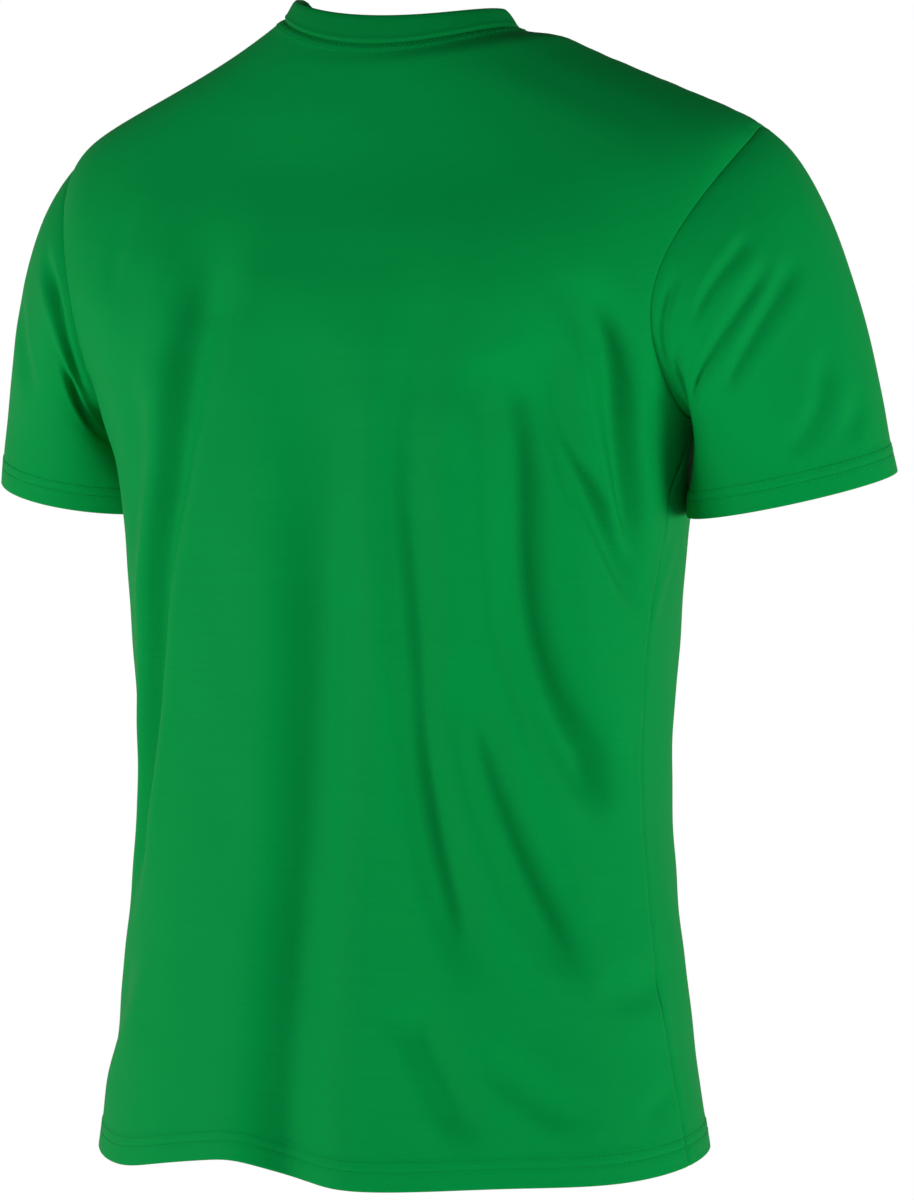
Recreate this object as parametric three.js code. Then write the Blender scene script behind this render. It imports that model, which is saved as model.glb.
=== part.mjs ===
// A short-sleeved football jersey of thin knit, filled out with no wearer.
// Millimetres. Z is up, the front faces -Y and the wearer's left is +X.
// The origin is the middle of the neck opening, level with the highest point of the neck seam.

import * as THREE from "three";

// Cloth walls, seams and turned-up edges.
const WALL = 1.4;
const HEM_WALL = 2.8;
const BAND_WALL = 2.6;
const SEAM_SETBACK = 0.16;
const BODY_HEM = 18;
const SLEEVE_HEM = 17;
const HEM_STEP = 0.9;

// Heights at the sides of the body.
const HEM_Z = -706;
const UNDERARM_Z = -251;
const SHOULDER_TIP_Z = -74;

// Girth sections of the body, from the hem to the neck seam.
// z: height at the sides. wide: half width. back, front: depth from the middle.
// middle: how far the section's middle lies back. square: 2 is an ellipse.
// backDrop, frontDrop: how far the centre back and centre front lie under the sides.
const SECTIONS = [
  { z: -706, wide: 201, back: 130, front: 130, middle: 7, square: 2.1, backDrop: 0, frontDrop: 0 },
  { z: -606, wide: 186, back: 122, front: 127, middle: 6, square: 2.15, backDrop: 0, frontDrop: 0 },
  { z: -486, wide: 173, back: 115, front: 123, middle: 5, square: 2.2, backDrop: 0, frontDrop: 0 },
  { z: -336, wide: 180, back: 121, front: 130, middle: 4, square: 2.25, backDrop: 0, frontDrop: 0 },
  { z: -251, wide: 196, back: 125, front: 131, middle: 0, square: 2.3, backDrop: 0, frontDrop: 0 },
  { z: -206, wide: 219, back: 128, front: 125, middle: -6, square: 2.36, backDrop: 7, frontDrop: 8 },
  { z: -156, wide: 239, back: 128, front: 114.5, middle: -12, square: 2.38, backDrop: 21, frontDrop: 32.5 },
  { z: -111, wide: 241, back: 125, front: 103, middle: -18, square: 2.34, backDrop: 35, frontDrop: 60.5 },
  { z: -90, wide: 238, back: 122, front: 91.5, middle: -23, square: 2.3, backDrop: 35.5, frontDrop: 64.5 },
  { z: -72, wide: 226, back: 114, front: 77.5, middle: -26, square: 2.25, backDrop: 28, frontDrop: 54.5 },
  { z: -56, wide: 194, back: 99, front: 79.5, middle: -19, square: 2.2, backDrop: 22, frontDrop: 56 },
  { z: -40, wide: 157, back: 86, front: 84, middle: -12, square: 2.15, backDrop: 20, frontDrop: 65.5 },
  { z: -20, wide: 113, back: 70, front: 90, middle: -4, square: 2.07, backDrop: 18, frontDrop: 79.5 },
  { z: 0, wide: 78, back: 54, front: 94, middle: 3, square: 2, backDrop: 16.5, frontDrop: 93 },
];

// Angles round the body: 0 is the centre back, 90 the wearer's left side, 180 the centre front.
const SIDE_SEAM = 84;
const SEAM_TURN_AT_UNDERARM = 8;
const SEAM_TURN_AT_HEM = 3;
const ARMHOLE_BACK = 36;
const ARMHOLE_FRONT = 40;
const ARMHOLE_ROUND = 0.62;

// How fast a section falls from its sides to the centre front: 1 is a round neckline, 2 a pointed one.
const NECK_ROUND = 1.5;

// The neck lies lower over the wearer's right shoulder than over the left, by this much.
const NECK_TILT = 11;
const NECK_TILT_REACH = 20;

// The hem rises and falls as the cloth hangs. lift: millimetres above its level.
const HEM_WAVES = [
  { angle: -180, lift: 2 },
  { angle: -140, lift: 7 },
  { angle: -102, lift: 12 },
  { angle: -90, lift: 9 },
  { angle: -78, lift: 6 },
  { angle: -60, lift: 3 },
  { angle: -36, lift: 2 },
  { angle: -20, lift: -1 },
  { angle: -8, lift: -2 },
  { angle: 0, lift: 1 },
  { angle: 6, lift: 6 },
  { angle: 11, lift: 10 },
  { angle: 18, lift: 9 },
  { angle: 32, lift: 2 },
  { angle: 43, lift: -3 },
  { angle: 68, lift: 0 },
  { angle: 90, lift: 3 },
  { angle: 140, lift: 6 },
  { angle: 180, lift: 2 },
];
const HEM_WAVE_REACH = 150;

// The largest folds of the body. Each runs through three places, given by angle and height.
// breadth: from the middle of the trough to where it levels. depth: of the trough.
// lean: above 0 makes the side at the larger angle the steeper one.
const BODY_ARC = 165;
const BODY_FOLDS = [
  { from: [16, -80], via: [27, -270], to: [52, -500], breadth: 24, depth: 5.5, lean: -0.3 },
  { from: [3, -190], via: [2, -420], to: [5, -706], breadth: 26, depth: 5.5, lean: -0.45 },
  { from: [-12, -150], via: [-19, -400], to: [-36, -620], breadth: 25, depth: 4.5, lean: 0.2 },
  { from: [-20, -190], via: [-42, -330], to: [-80, -500], breadth: 24, depth: 5, lean: 0.3 },
  { from: [-34, -140], via: [-53, -220], to: [-84, -305], breadth: 20, depth: 4.5, lean: 0 },
  { from: [-31, -400], via: [-44, -518], to: [-70, -590], breadth: 24, depth: 3.5, lean: 0.2 },
  { from: [150, -170], via: [138, -330], to: [104, -520], breadth: 26, depth: 5, lean: 0.3 },
  { from: [165, -240], via: [172, -440], to: [168, -700], breadth: 28, depth: 5, lean: -0.3 },
  { from: [212, -175], via: [226, -320], to: [256, -470], breadth: 25, depth: 5, lean: 0.2 },
  { from: [200, -330], via: [198, -500], to: [208, -700], breadth: 28, depth: 4.5, lean: 0.3 },
];

// Cuffs: middle, half widths and directions of the opening of the wearer's left sleeve.
const CUFF_MIDDLE = [245, -36, -295];
const CUFF_ACROSS = 65;
const CUFF_DEEP = 57;
const CUFF_OUTWARD = [0.985, 0, 0.17];
const CUFF_BACKWARD = [0, 0.985, -0.17];

// How the sleeve leaves the armhole and meets the cuff, at the underarm and at the top.
const LEAVE_UNDERARM = [80, -16, -20];
const LEAVE_TOP = [143, -24, -85];
const LEAVE_BACKWARD = 10;
const MEET_UNDERARM = 60;
const MEET_TOP = 144;

// Sleeve folds, by turn round the sleeve (0 underarm, 0.25 back, 0.5 top) and share of its length.
const SLEEVE_ARC = 430;
const SLEEVE_LENGTH = 200;
const SLEEVE_FOLDS = [
  { from: [0.35, 0.18], via: [0.29, 0.26], to: [0.2, 0.4], breadth: 15, depth: 3.5, lean: 0 },
  { from: [0.38, 0.36], via: [0.32, 0.48], to: [0.22, 0.62], breadth: 15, depth: 3, lean: 0.2 },
  { from: [0.62, 0.2], via: [0.7, 0.3], to: [0.8, 0.42], breadth: 16, depth: 3.5, lean: 0 },
];

// Neckband: how far it rises and leans in over the neck seam.
const BAND_RISE_SIDE = 11;
const BAND_RISE_BACK = 17;
const BAND_LEAN_SIDE = 7;
const BAND_LEAN_BACK = 4;

// Mesh steps.
const ROWS_SKIRT = 18;
const ROWS_ARMHOLE = 14;
const ROWS_YOKE = 8;
const COLUMNS_BACK = 38;
const COLUMNS_FRONT = 30;
const ROWS_SLEEVE = 14;
const ROWS_BAND = 3;

const CLOTH = { color: 0x0b8a40, roughness: 0.72, metalness: 0 };

const DEG = Math.PI / 180;
const NUDGE = 0.0005;

const add = (a, b, k = 1) => [a[0] + b[0] * k, a[1] + b[1] * k, a[2] + b[2] * k];
const sub = (a, b) => add(a, b, -1);
const dot = (a, b) => a[0] * b[0] + a[1] * b[1] + a[2] * b[2];
const cross = (a, b) => [
  a[1] * b[2] - a[2] * b[1],
  a[2] * b[0] - a[0] * b[2],
  a[0] * b[1] - a[1] * b[0],
];
const scale = (a, k) => [a[0] * k, a[1] * k, a[2] * k];
const unit = (a) => scale(a, 1 / Math.hypot(...a));
const blend = (a, b, k) => a + (b - a) * k;
const clamp = (x) => Math.min(1, Math.max(0, x));
const ease = (x) => clamp(x) ** 2 * (3 - 2 * clamp(x));
const power = (x, p) => Math.sign(x) * Math.abs(x) ** p;

// A smooth curve through a table's rows that never overshoots them.
function through(rows, key, value) {
  const xs = rows.map((r) => r[key]);
  const ys = rows.map((r) => r[value]);
  const steps = xs.slice(1).map((x, i) => x - xs[i]);
  const rates = steps.map((h, i) => (ys[i + 1] - ys[i]) / h);
  const slopes = ys.map((_, i) => {
    if (i === 0) return rates[0];
    if (i === ys.length - 1) return rates[i - 1];
    if (rates[i - 1] * rates[i] <= 0) return 0;
    const w1 = 2 * steps[i] + steps[i - 1];
    const w2 = steps[i] + 2 * steps[i - 1];
    return (w1 + w2) / (w1 / rates[i - 1] + w2 / rates[i]);
  });
  return (x) => {
    let i = 0;
    while (i < steps.length - 1 && x >= xs[i + 1]) i += 1;
    const h = steps[i];
    const t = (x - xs[i]) / h;
    const start = (2 * t ** 3 - 3 * t ** 2 + 1) * ys[i] + (t ** 3 - 2 * t ** 2 + t) * h * slopes[i];
    const end = (3 * t ** 2 - 2 * t ** 3) * ys[i + 1] + (t ** 3 - t ** 2) * h * slopes[i + 1];
    return start + end;
  };
}

// A smooth curve through a table's rows whose bend changes smoothly too.
function bendThrough(rows, key, value) {
  const xs = rows.map((r) => r[key]);
  const ys = rows.map((r) => r[value]);
  const steps = xs.slice(1).map((x, i) => x - xs[i]);
  const ratios = [0];
  const loads = [0];
  for (let i = 1; i < steps.length; i += 1) {
    const jump = (ys[i + 1] - ys[i]) / steps[i] - (ys[i] - ys[i - 1]) / steps[i - 1];
    const pivot = 2 * (steps[i - 1] + steps[i]) - steps[i - 1] * ratios[i - 1];
    ratios.push(steps[i] / pivot);
    loads.push((6 * jump - steps[i - 1] * loads[i - 1]) / pivot);
  }
  const bends = ys.map(() => 0);
  for (let i = steps.length - 1; i > 0; i -= 1) {
    bends[i] = loads[i] - ratios[i] * bends[i + 1];
  }
  return (x) => {
    let i = 0;
    while (i < steps.length - 1 && x >= xs[i + 1]) i += 1;
    const h = steps[i];
    const after = (x - xs[i]) / h;
    const before = 1 - after;
    const bent = (before ** 3 - before) * bends[i] + (after ** 3 - after) * bends[i + 1];
    return before * ys[i] + after * ys[i + 1] + (bent * h * h) / 6;
  };
}

const section = Object.fromEntries(
  Object.keys(SECTIONS[0]).filter((name) => name !== "z").map((name) => [name, bendThrough(SECTIONS, "z", name)]),
);
const hemLift = through(HEM_WAVES, "angle", "lift");

// Height pushed in or out by one fold at a place on its cloth, both in millimetres.
function foldHeight(fold, x, y, ends = 0.22) {
  const [ax, ay] = fold.from;
  const [mx, my] = fold.via;
  const [bx, by] = fold.to;
  const chord = Math.hypot(bx - ax, by - ay);
  const ux = (bx - ax) / chord;
  const uy = (by - ay) / chord;
  const s = ((x - ax) * ux + (y - ay) * uy) / chord;
  if (s <= 0 || s >= 1) return 0;
  const sm = ((mx - ax) * ux + (my - ay) * uy) / chord;
  const sag = ((mx - ax) * -uy + (my - ay) * ux) / (sm * (1 - sm));
  const off = (x - ax) * -uy + (y - ay) * ux - sag * s * (1 - s);
  const side = fold.breadth * (1 - fold.lean * Math.tanh(off / fold.breadth));
  const across = off / side;
  const shape = -(1 - 1.1 * across ** 2) * Math.exp(-(across ** 2));
  return fold.depth * shape * ease(s / ends) * ease((1 - s) / ends);
}

const onCloth = (folds, arc, length) => folds.map((fold) => ({
  ...fold,
  from: [fold.from[0] * arc, fold.from[1] * length],
  via: [fold.via[0] * arc, fold.via[1] * length],
  to: [fold.to[0] * arc, fold.to[1] * length],
}));
const bodyFolds = onCloth(BODY_FOLDS, BODY_ARC * DEG, 1);
const sleeveFolds = onCloth(SLEEVE_FOLDS, SLEEVE_ARC, SLEEVE_LENGTH);

// Edges of the back and front panels at a height: side seam, armhole or shoulder seam.
function seamAngle(z) {
  const up = ease((z - UNDERARM_Z + 155) / 155);
  const down = ease((HEM_Z + 146 - z) / 146);
  return SIDE_SEAM + SEAM_TURN_AT_UNDERARM * up + SEAM_TURN_AT_HEM * down;
}
function armholeCut(z) {
  const up = clamp((z - UNDERARM_Z) / (SHOULDER_TIP_Z - UNDERARM_Z));
  return Math.max(0, Math.sin(Math.PI * up)) ** ARMHOLE_ROUND;
}
const backEdge = (z) => seamAngle(z) - ARMHOLE_BACK * armholeCut(z);
const frontEdge = (z) => seamAngle(z) + ARMHOLE_FRONT * armholeCut(z);

// A place on the smooth body, by angle in degrees and height at the side.
function bodyForm(angle, z) {
  const c = Math.cos(angle * DEG);
  const s = Math.sin(angle * DEG);
  const p = 2 / section.square(z);
  const depth = c > 0 ? section.back(z) : section.front(z);
  const drop = c > 0 ? section.backDrop(z) * c * c : section.frontDrop(z) * power(-c, NECK_ROUND);
  const turn = ((((angle + 180) % 360) + 360) % 360) - 180;
  const lift = hemLift(turn) * clamp((HEM_Z + HEM_WAVE_REACH - z) / HEM_WAVE_REACH) ** 2;
  const tilt = NECK_TILT * (1 - s) / 2 * ease((z + NECK_TILT_REACH) / NECK_TILT_REACH);
  return [
    section.wide(z) * power(s, p),
    section.middle(z) + depth * power(c, p),
    z - drop + lift - tilt,
  ];
}

function outward(point, u, v, du, dv) {
  const along = sub(point(u + du, v), point(u - du, v));
  const up = sub(point(u, v + dv), point(u, v - dv));
  return unit(cross(along, up));
}

// The folds die away toward the armhole and shoulder seams, and pass the side seams.
function bodyPoint(angle, z) {
  const turn = ((((angle + 180) % 360) + 360) % 360) - 180;
  const size = Math.abs(turn);
  const fromBack = backEdge(z) - size;
  const fromFront = size - frontEdge(z);
  const gap = Math.max(fromBack, fromFront) * BODY_ARC * DEG;
  const near = blend(1, ease(gap / 16), ease((z - UNDERARM_Z + 60) / 60));
  const yoke = ease((-40 - z) / 40);
  let height = 0;
  for (const fold of bodyFolds) {
    const middle = (fold.from[0] + fold.to[0]) / 2 / (BODY_ARC * DEG);
    const nearest = turn + 360 * Math.round((middle - turn) / 360);
    height += foldHeight(fold, nearest * BODY_ARC * DEG, z);
  }
  const out = outward(bodyForm, turn, z, -0.05, 0.05);
  return add(bodyForm(turn, z), out, height * near * yoke);
}

// The armhole line, once round: 0 the underarm, 0.25 the back, 0.5 the shoulder tip.
function armholePlace(turn) {
  const t = ((turn % 1) + 1) % 1;
  const up = (1 - Math.cos(2 * Math.PI * t)) / 2;
  const z = blend(UNDERARM_Z, SHOULDER_TIP_Z, up);
  return { z, angle: t <= 0.5 ? backEdge(z) : frontEdge(z) };
}
function armholeLine(turn) {
  const place = armholePlace(turn);
  return bodyForm(place.angle, place.z);
}

// A place on the wearer's left sleeve: turn round it, and share of the way to the cuff.
function sleeveForm(turn, t) {
  const round = 2 * Math.PI * turn;
  const top = (1 - Math.cos(round)) / 2;
  const start = armholeLine(turn);
  const across = scale(CUFF_OUTWARD, -CUFF_ACROSS * Math.cos(round));
  const deep = scale(CUFF_BACKWARD, CUFF_DEEP * Math.sin(round));
  const end = add(add(CUFF_MIDDLE, across), deep);
  const leave = LEAVE_UNDERARM.map((v, k) => blend(v, LEAVE_TOP[k], top));
  leave[1] += LEAVE_BACKWARD * Math.sin(round);
  const down = unit(cross(CUFF_BACKWARD, CUFF_OUTWARD));
  const meet = scale(down, blend(MEET_UNDERARM, MEET_TOP, top));
  const h0 = 2 * t ** 3 - 3 * t ** 2 + 1;
  const h1 = t ** 3 - 2 * t ** 2 + t;
  const h2 = 3 * t ** 2 - 2 * t ** 3;
  const h3 = t ** 3 - t ** 2;
  return start.map((v, k) => v * h0 + leave[k] * h1 + end[k] * h2 + meet[k] * h3);
}
function sleevePoint(turn, t) {
  const place = ((turn % 1) + 1) % 1;
  let height = 0;
  for (const fold of sleeveFolds) {
    height += foldHeight(fold, place * SLEEVE_ARC, t * SLEEVE_LENGTH, 0.3);
  }
  const out = sleeveNormal(turn, t);
  return add(sleeveForm(turn, t), out, height * ease(t / 0.15));
}
function sleeveNormal(turn, t) {
  return outward(sleeveForm, turn, Math.max(t, 0.02), NUDGE, NUDGE);
}

// Walls meet at a seam along the line half way between the two pieces' own directions.
function armholeNormal(turn) {
  const place = armholePlace(turn);
  const body = outward(bodyForm, place.angle, place.z, -0.05, 0.05);
  return unit(add(body, sleeveNormal(turn, 0.02)));
}

function bandForm(angle, t) {
  const foot = bodyForm(angle, 0);
  const back = Math.max(0, Math.cos(angle * DEG)) ** 2;
  const inward = unit([-foot[0], -foot[1], 0]);
  const rise = blend(BAND_RISE_SIDE, BAND_RISE_BACK, back) * t;
  const lean = blend(BAND_LEAN_SIDE, BAND_LEAN_BACK, back) * t;
  return add([foot[0], foot[1], foot[2] + rise], inward, lean);
}
const bandNormal = (angle, t) => outward(bandForm, angle, t, -0.05, 0.01);
const neckNormal = (angle) => unit(add(bodyNormal(angle, -2), bandNormal(angle, 0.5)));
const bodyNormal = (angle, z) => outward(bodyPoint, angle, z, -0.1, 0.2);

// A closed wall from a grid of outer points, each with the point behind it on the inside.
// loop joins the last column to the first. flip turns the faces of a mirrored piece.
function wall(outer, inner, loop, flip) {
  const rows = outer.length;
  const columns = outer[0].length;
  const span = loop ? columns : columns - 1;
  const positions = [...outer.flat(2), ...inner.flat(2)];
  const inside = rows * columns;
  const at = (i, j) => i * columns + (j % columns);
  const index = [];
  const quad = (a, b, c, d) => {
    if (flip) index.push(a, c, b, a, d, c);
    else index.push(a, b, c, a, c, d);
  };
  for (let i = 0; i < rows - 1; i += 1) {
    for (let j = 0; j < span; j += 1) {
      quad(at(i, j), at(i, j + 1), at(i + 1, j + 1), at(i + 1, j));
      quad(inside + at(i, j), inside + at(i + 1, j), inside + at(i + 1, j + 1), inside + at(i, j + 1));
    }
  }
  for (let j = 0; j < span; j += 1) {
    const last = rows - 1;
    quad(at(0, j), inside + at(0, j), inside + at(0, j + 1), at(0, j + 1));
    quad(at(last, j), at(last, j + 1), inside + at(last, j + 1), inside + at(last, j));
  }
  if (!loop) {
    const edge = columns - 1;
    for (let i = 0; i < rows - 1; i += 1) {
      quad(at(i, 0), at(i + 1, 0), inside + at(i + 1, 0), inside + at(i, 0));
      quad(at(i, edge), inside + at(i, edge), inside + at(i + 1, edge), at(i + 1, edge));
    }
  }
  const geometry = new THREE.BufferGeometry();
  geometry.setAttribute("position", new THREE.Float32BufferAttribute(positions, 3));
  geometry.setIndex(index);
  geometry.computeVertexNormals();
  return geometry;
}

// Heights of the panels' rows, with a step in the wall where the turned-up hem ends.
const rowHeights = [HEM_Z, HEM_Z + BODY_HEM, HEM_Z + BODY_HEM + HEM_STEP];
const skirtStart = HEM_Z + BODY_HEM + HEM_STEP;
for (let i = 1; i <= ROWS_SKIRT; i += 1) {
  rowHeights.push(blend(skirtStart, UNDERARM_Z, i / ROWS_SKIRT));
}
for (let i = 1; i <= ROWS_ARMHOLE; i += 1) {
  rowHeights.push(armholePlace(i / ROWS_ARMHOLE / 2).z);
}
for (let i = 1; i <= ROWS_YOKE; i += 1) {
  rowHeights.push(blend(SHOULDER_TIP_Z, 0, i / ROWS_YOKE));
}
const underarmRow = 2 + ROWS_SKIRT;
const tipRow = underarmRow + ROWS_ARMHOLE;
const neckRow = tipRow + ROWS_YOKE;

// Seam edges step back from the seam line by a fixed distance, square to the line.
function stepBack(points, normals, i, j, di, dj, sign) {
  const here = points[i][j];
  const before = points[Math.max(0, i - di)][Math.max(0, j - dj)];
  const after = points[Math.min(points.length - 1, i + di)][Math.min(points[0].length - 1, j + dj)];
  const line = unit(sub(after, before));
  return scale(unit(cross(normals[i][j], line)), sign * SEAM_SETBACK);
}

function panel(columns, angleAt) {
  const points = [];
  const normals = [];
  const thick = [];
  for (let i = 0; i <= neckRow; i += 1) {
    const z = rowHeights[i];
    const row = [];
    const rowNormals = [];
    for (let j = 0; j <= columns; j += 1) {
      const angle = angleAt(z, j / columns);
      const onEdge = j === 0 || j === columns;
      const onArmhole = onEdge && i >= underarmRow && i <= tipRow;
      row.push(bodyPoint(angle, z));
      if (i === neckRow) rowNormals.push(neckNormal(angle));
      else if (onArmhole) rowNormals.push(edgeNormal(angle, i));
      else rowNormals.push(bodyNormal(angle, z));
    }
    points.push(row);
    normals.push(rowNormals);
    thick.push(i < 2 ? HEM_WALL : WALL);
  }
  const outer = points.map((row, i) => row.map((point, j) => {
    let moved = point;
    if (j === 0) moved = add(moved, stepBack(points, normals, i, j, 1, 0, -1));
    if (j === columns) moved = add(moved, stepBack(points, normals, i, j, 1, 0, 1));
    if (i === neckRow) moved = add(moved, stepBack(points, normals, i, j, 0, 1, -1));
    return moved;
  }));
  const inner = outer.map((row, i) => row.map((point, j) => add(point, normals[i][j], -thick[i])));
  return wall(outer, inner, false, false);
}

// The direction through the wall where a panel's edge runs along an armhole.
function edgeNormal(angle, row) {
  const signed = ((((angle + 180) % 360) + 360) % 360) - 180;
  const share = (row - underarmRow) / ROWS_ARMHOLE / 2;
  const isBack = Math.abs(signed) < seamAngle(rowHeights[row]) + (row === underarmRow || row === tipRow ? 0.01 : 0);
  const normal = armholeNormal(isBack ? share : 1 - share);
  return signed < 0 ? [-normal[0], normal[1], normal[2]] : normal;
}

function sleeve(side) {
  const columns = ROWS_ARMHOLE * 2;
  const shares = [];
  const hemShare = SLEEVE_HEM / SLEEVE_LENGTH;
  const stepShare = HEM_STEP / SLEEVE_LENGTH;
  for (let i = 0; i <= ROWS_SLEEVE; i += 1) {
    shares.push((1 - hemShare - stepShare) * (i / ROWS_SLEEVE) ** 1.15);
  }
  shares.push(1 - hemShare, 1);
  const points = [];
  const normals = [];
  for (const t of shares) {
    const row = [];
    const rowNormals = [];
    for (let j = 0; j < columns; j += 1) {
      const turn = j / columns;
      row.push(sleevePoint(turn, t));
      rowNormals.push(t === 0 ? armholeNormal(turn) : outward(sleevePoint, turn, t, NUDGE * 4, NUDGE * 4));
    }
    points.push(row);
    normals.push(rowNormals);
  }
  const outer = points.map((row, i) => row.map((point, j) => {
    if (i > 0) return point;
    const line = unit(sub(row[(j + 1) % columns], row[(j + columns - 1) % columns]));
    return add(point, unit(cross(normals[0][j], line)), SEAM_SETBACK);
  }));
  const inner = outer.map((row, i) => row.map((point, j) => {
    const thickness = i > ROWS_SLEEVE ? HEM_WALL : WALL;
    return add(point, normals[i][j], -thickness);
  }));
  const mirrored = (grid) => grid.map((row) => row.map((p) => [side * p[0], p[1], p[2]]));
  return wall(mirrored(outer), mirrored(inner), true, side < 0);
}

function neckband() {
  const angles = [];
  const edge = seamAngle(0);
  for (let j = 0; j < COLUMNS_BACK; j += 1) angles.push(blend(edge, -edge, j / COLUMNS_BACK));
  for (let j = 0; j < COLUMNS_FRONT; j += 1) angles.push(blend(-edge, edge - 360, j / COLUMNS_FRONT));
  const outer = [];
  const inner = [];
  for (let i = 0; i <= ROWS_BAND; i += 1) {
    const t = i / ROWS_BAND;
    const row = angles.map((angle) => bandForm(angle, t));
    const normals = angles.map((angle) => (i === 0 ? neckNormal(angle) : bandNormal(angle, t)));
    const count = row.length;
    outer.push(row.map((point, j) => {
      if (i > 0) return point;
      const line = unit(sub(row[(j + 1) % count], row[(j + count - 1) % count]));
      return add(point, unit(cross(normals[j], line)), SEAM_SETBACK);
    }));
    inner.push(outer[i].map((point, j) => add(point, normals[j], -BAND_WALL)));
  }
  return wall(outer, inner, true, false);
}

const garment = new THREE.Group();
function place(name, geometry) {
  const mesh = new THREE.Mesh(geometry, new THREE.MeshStandardMaterial(CLOTH));
  mesh.name = name;
  garment.add(mesh);
}

place("back_panel", panel(COLUMNS_BACK, (z, share) => blend(backEdge(z), -backEdge(z), share)));
place("front_panel", panel(COLUMNS_FRONT, (z, share) => blend(-frontEdge(z), frontEdge(z) - 360, share)));
place("sleeve_left", sleeve(1));
place("sleeve_right", sleeve(-1));
place("neckband", neckband());

export default garment;
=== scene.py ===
# %% [markdown]
# # A plain green football jersey, filled out with no wearer
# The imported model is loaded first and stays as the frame. Every cloth piece below is then sewn on the same
# form as its solid and takes that solid's place: a back, a front, two set-in sleeves and a neckband.
# Millimetres are used while cloth is shaped, because a maker thinks in them, and metres when a mesh is made.

# %% Load the frame
import math

import bpy
import numpy as np
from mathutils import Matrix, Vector


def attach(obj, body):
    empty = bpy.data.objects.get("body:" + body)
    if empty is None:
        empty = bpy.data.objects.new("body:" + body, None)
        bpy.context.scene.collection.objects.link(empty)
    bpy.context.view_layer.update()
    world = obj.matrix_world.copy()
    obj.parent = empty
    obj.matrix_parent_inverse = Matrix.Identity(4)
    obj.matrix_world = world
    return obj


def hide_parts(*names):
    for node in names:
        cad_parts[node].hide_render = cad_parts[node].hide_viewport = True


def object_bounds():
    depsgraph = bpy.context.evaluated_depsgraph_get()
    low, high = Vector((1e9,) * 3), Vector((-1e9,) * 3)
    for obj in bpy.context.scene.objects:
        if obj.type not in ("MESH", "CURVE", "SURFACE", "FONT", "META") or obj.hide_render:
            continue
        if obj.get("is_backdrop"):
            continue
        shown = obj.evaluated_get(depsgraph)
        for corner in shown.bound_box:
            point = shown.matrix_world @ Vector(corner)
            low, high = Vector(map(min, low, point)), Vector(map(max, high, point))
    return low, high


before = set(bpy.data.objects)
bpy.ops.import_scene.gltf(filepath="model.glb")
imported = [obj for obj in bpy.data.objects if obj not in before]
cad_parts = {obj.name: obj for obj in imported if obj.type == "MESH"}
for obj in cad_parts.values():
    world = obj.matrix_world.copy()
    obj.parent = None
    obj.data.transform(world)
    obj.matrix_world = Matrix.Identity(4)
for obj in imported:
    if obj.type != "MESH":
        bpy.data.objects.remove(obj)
cad_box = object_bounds()
scene = bpy.context.scene
print("frame nodes:", sorted(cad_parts))

# %% [markdown]
# ## The camera
# The photograph looks at the back from the wearer's right, level with the upper back. A long lens keeps the
# near and the far shoulder close in size, as the photograph has them.

# %% Camera
CAMERA_PLACE = Vector((-1.408, 2.649, -0.263))
CAMERA_AIM = Vector((-0.0285, -0.0151, -0.3621))
CAMERA_LENS = 145.25

camera_data = bpy.data.cameras.new("camera")
camera_data.sensor_width = 36
camera_data.lens = CAMERA_LENS
camera = bpy.data.objects.new("camera", camera_data)
camera.location = CAMERA_PLACE
camera.rotation_euler = (CAMERA_AIM - CAMERA_PLACE).to_track_quat("-Z", "Y").to_euler()
scene.collection.objects.link(camera)
scene.camera = camera
print("camera distance:", round((CAMERA_AIM - CAMERA_PLACE).length, 3), "m")

# %% [markdown]
# ## The form of the body
# A shirt panel can be lofted through girth sections: each row of the table is one section, and a smooth curve
# joins every column of the table, so the cloth has no ring where one section ends. Between a circle and a box
# lies the rounded shape that a chest gives to cloth, which the column named square sets.

# %% Sizes and sections
SEAM_SETBACK = 0.12
HEM_Z = -706
UNDERARM_Z = -251
SHOULDER_TIP_Z = -74
SIDE_SEAM = 84
SEAM_TURN_AT_UNDERARM = 8
SEAM_TURN_AT_HEM = 3
ARMHOLE_BACK = 36
ARMHOLE_FRONT = 40
ARMHOLE_ROUND = 0.62
NECK_ROUND = 1.5
NECK_TILT, NECK_TILT_REACH = 11, 20
HEM_WAVE_REACH = 150
ARC = 165 * math.pi / 180  # millimetres of cloth for one degree round the body

SECTION_COLUMNS = ("z", "wide", "back", "front", "middle", "square", "back_drop", "front_drop")
SECTIONS = [
    (-706, 201, 130, 130, 7, 2.10, 0, 0),
    (-606, 186, 122, 127, 6, 2.15, 0, 0),
    (-486, 173, 115, 123, 5, 2.20, 0, 0),
    (-336, 180, 121, 130, 4, 2.25, 0, 0),
    (-251, 196, 125, 131, 0, 2.30, 0, 0),
    (-206, 219, 128, 125, -6, 2.36, 7, 8),
    (-156, 239, 128, 114.5, -12, 2.38, 21, 32.5),
    (-111, 241, 125, 103, -18, 2.34, 35, 60.5),
    (-90, 238, 122, 91.5, -23, 2.30, 35.5, 64.5),
    (-72, 226, 114, 77.5, -26, 2.25, 28, 54.5),
    (-56, 194, 99, 79.5, -19, 2.20, 22, 56),
    (-40, 157, 86, 84, -12, 2.15, 20, 65.5),
    (-20, 113, 70, 90, -4, 2.07, 18, 79.5),
    (0, 78, 54, 94, 3, 2.00, 16.5, 93),
]
HEM_WAVES = [
    (-180, 2), (-140, 7), (-102, 12), (-90, 9), (-78, 6), (-60, 3), (-36, 2), (-20, -1), (-8, -2), (0, 1),
    (6, 6), (11, 10), (18, 9), (32, 2), (43, -3), (68, 0), (90, 3), (140, 6), (180, 2),
]


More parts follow.
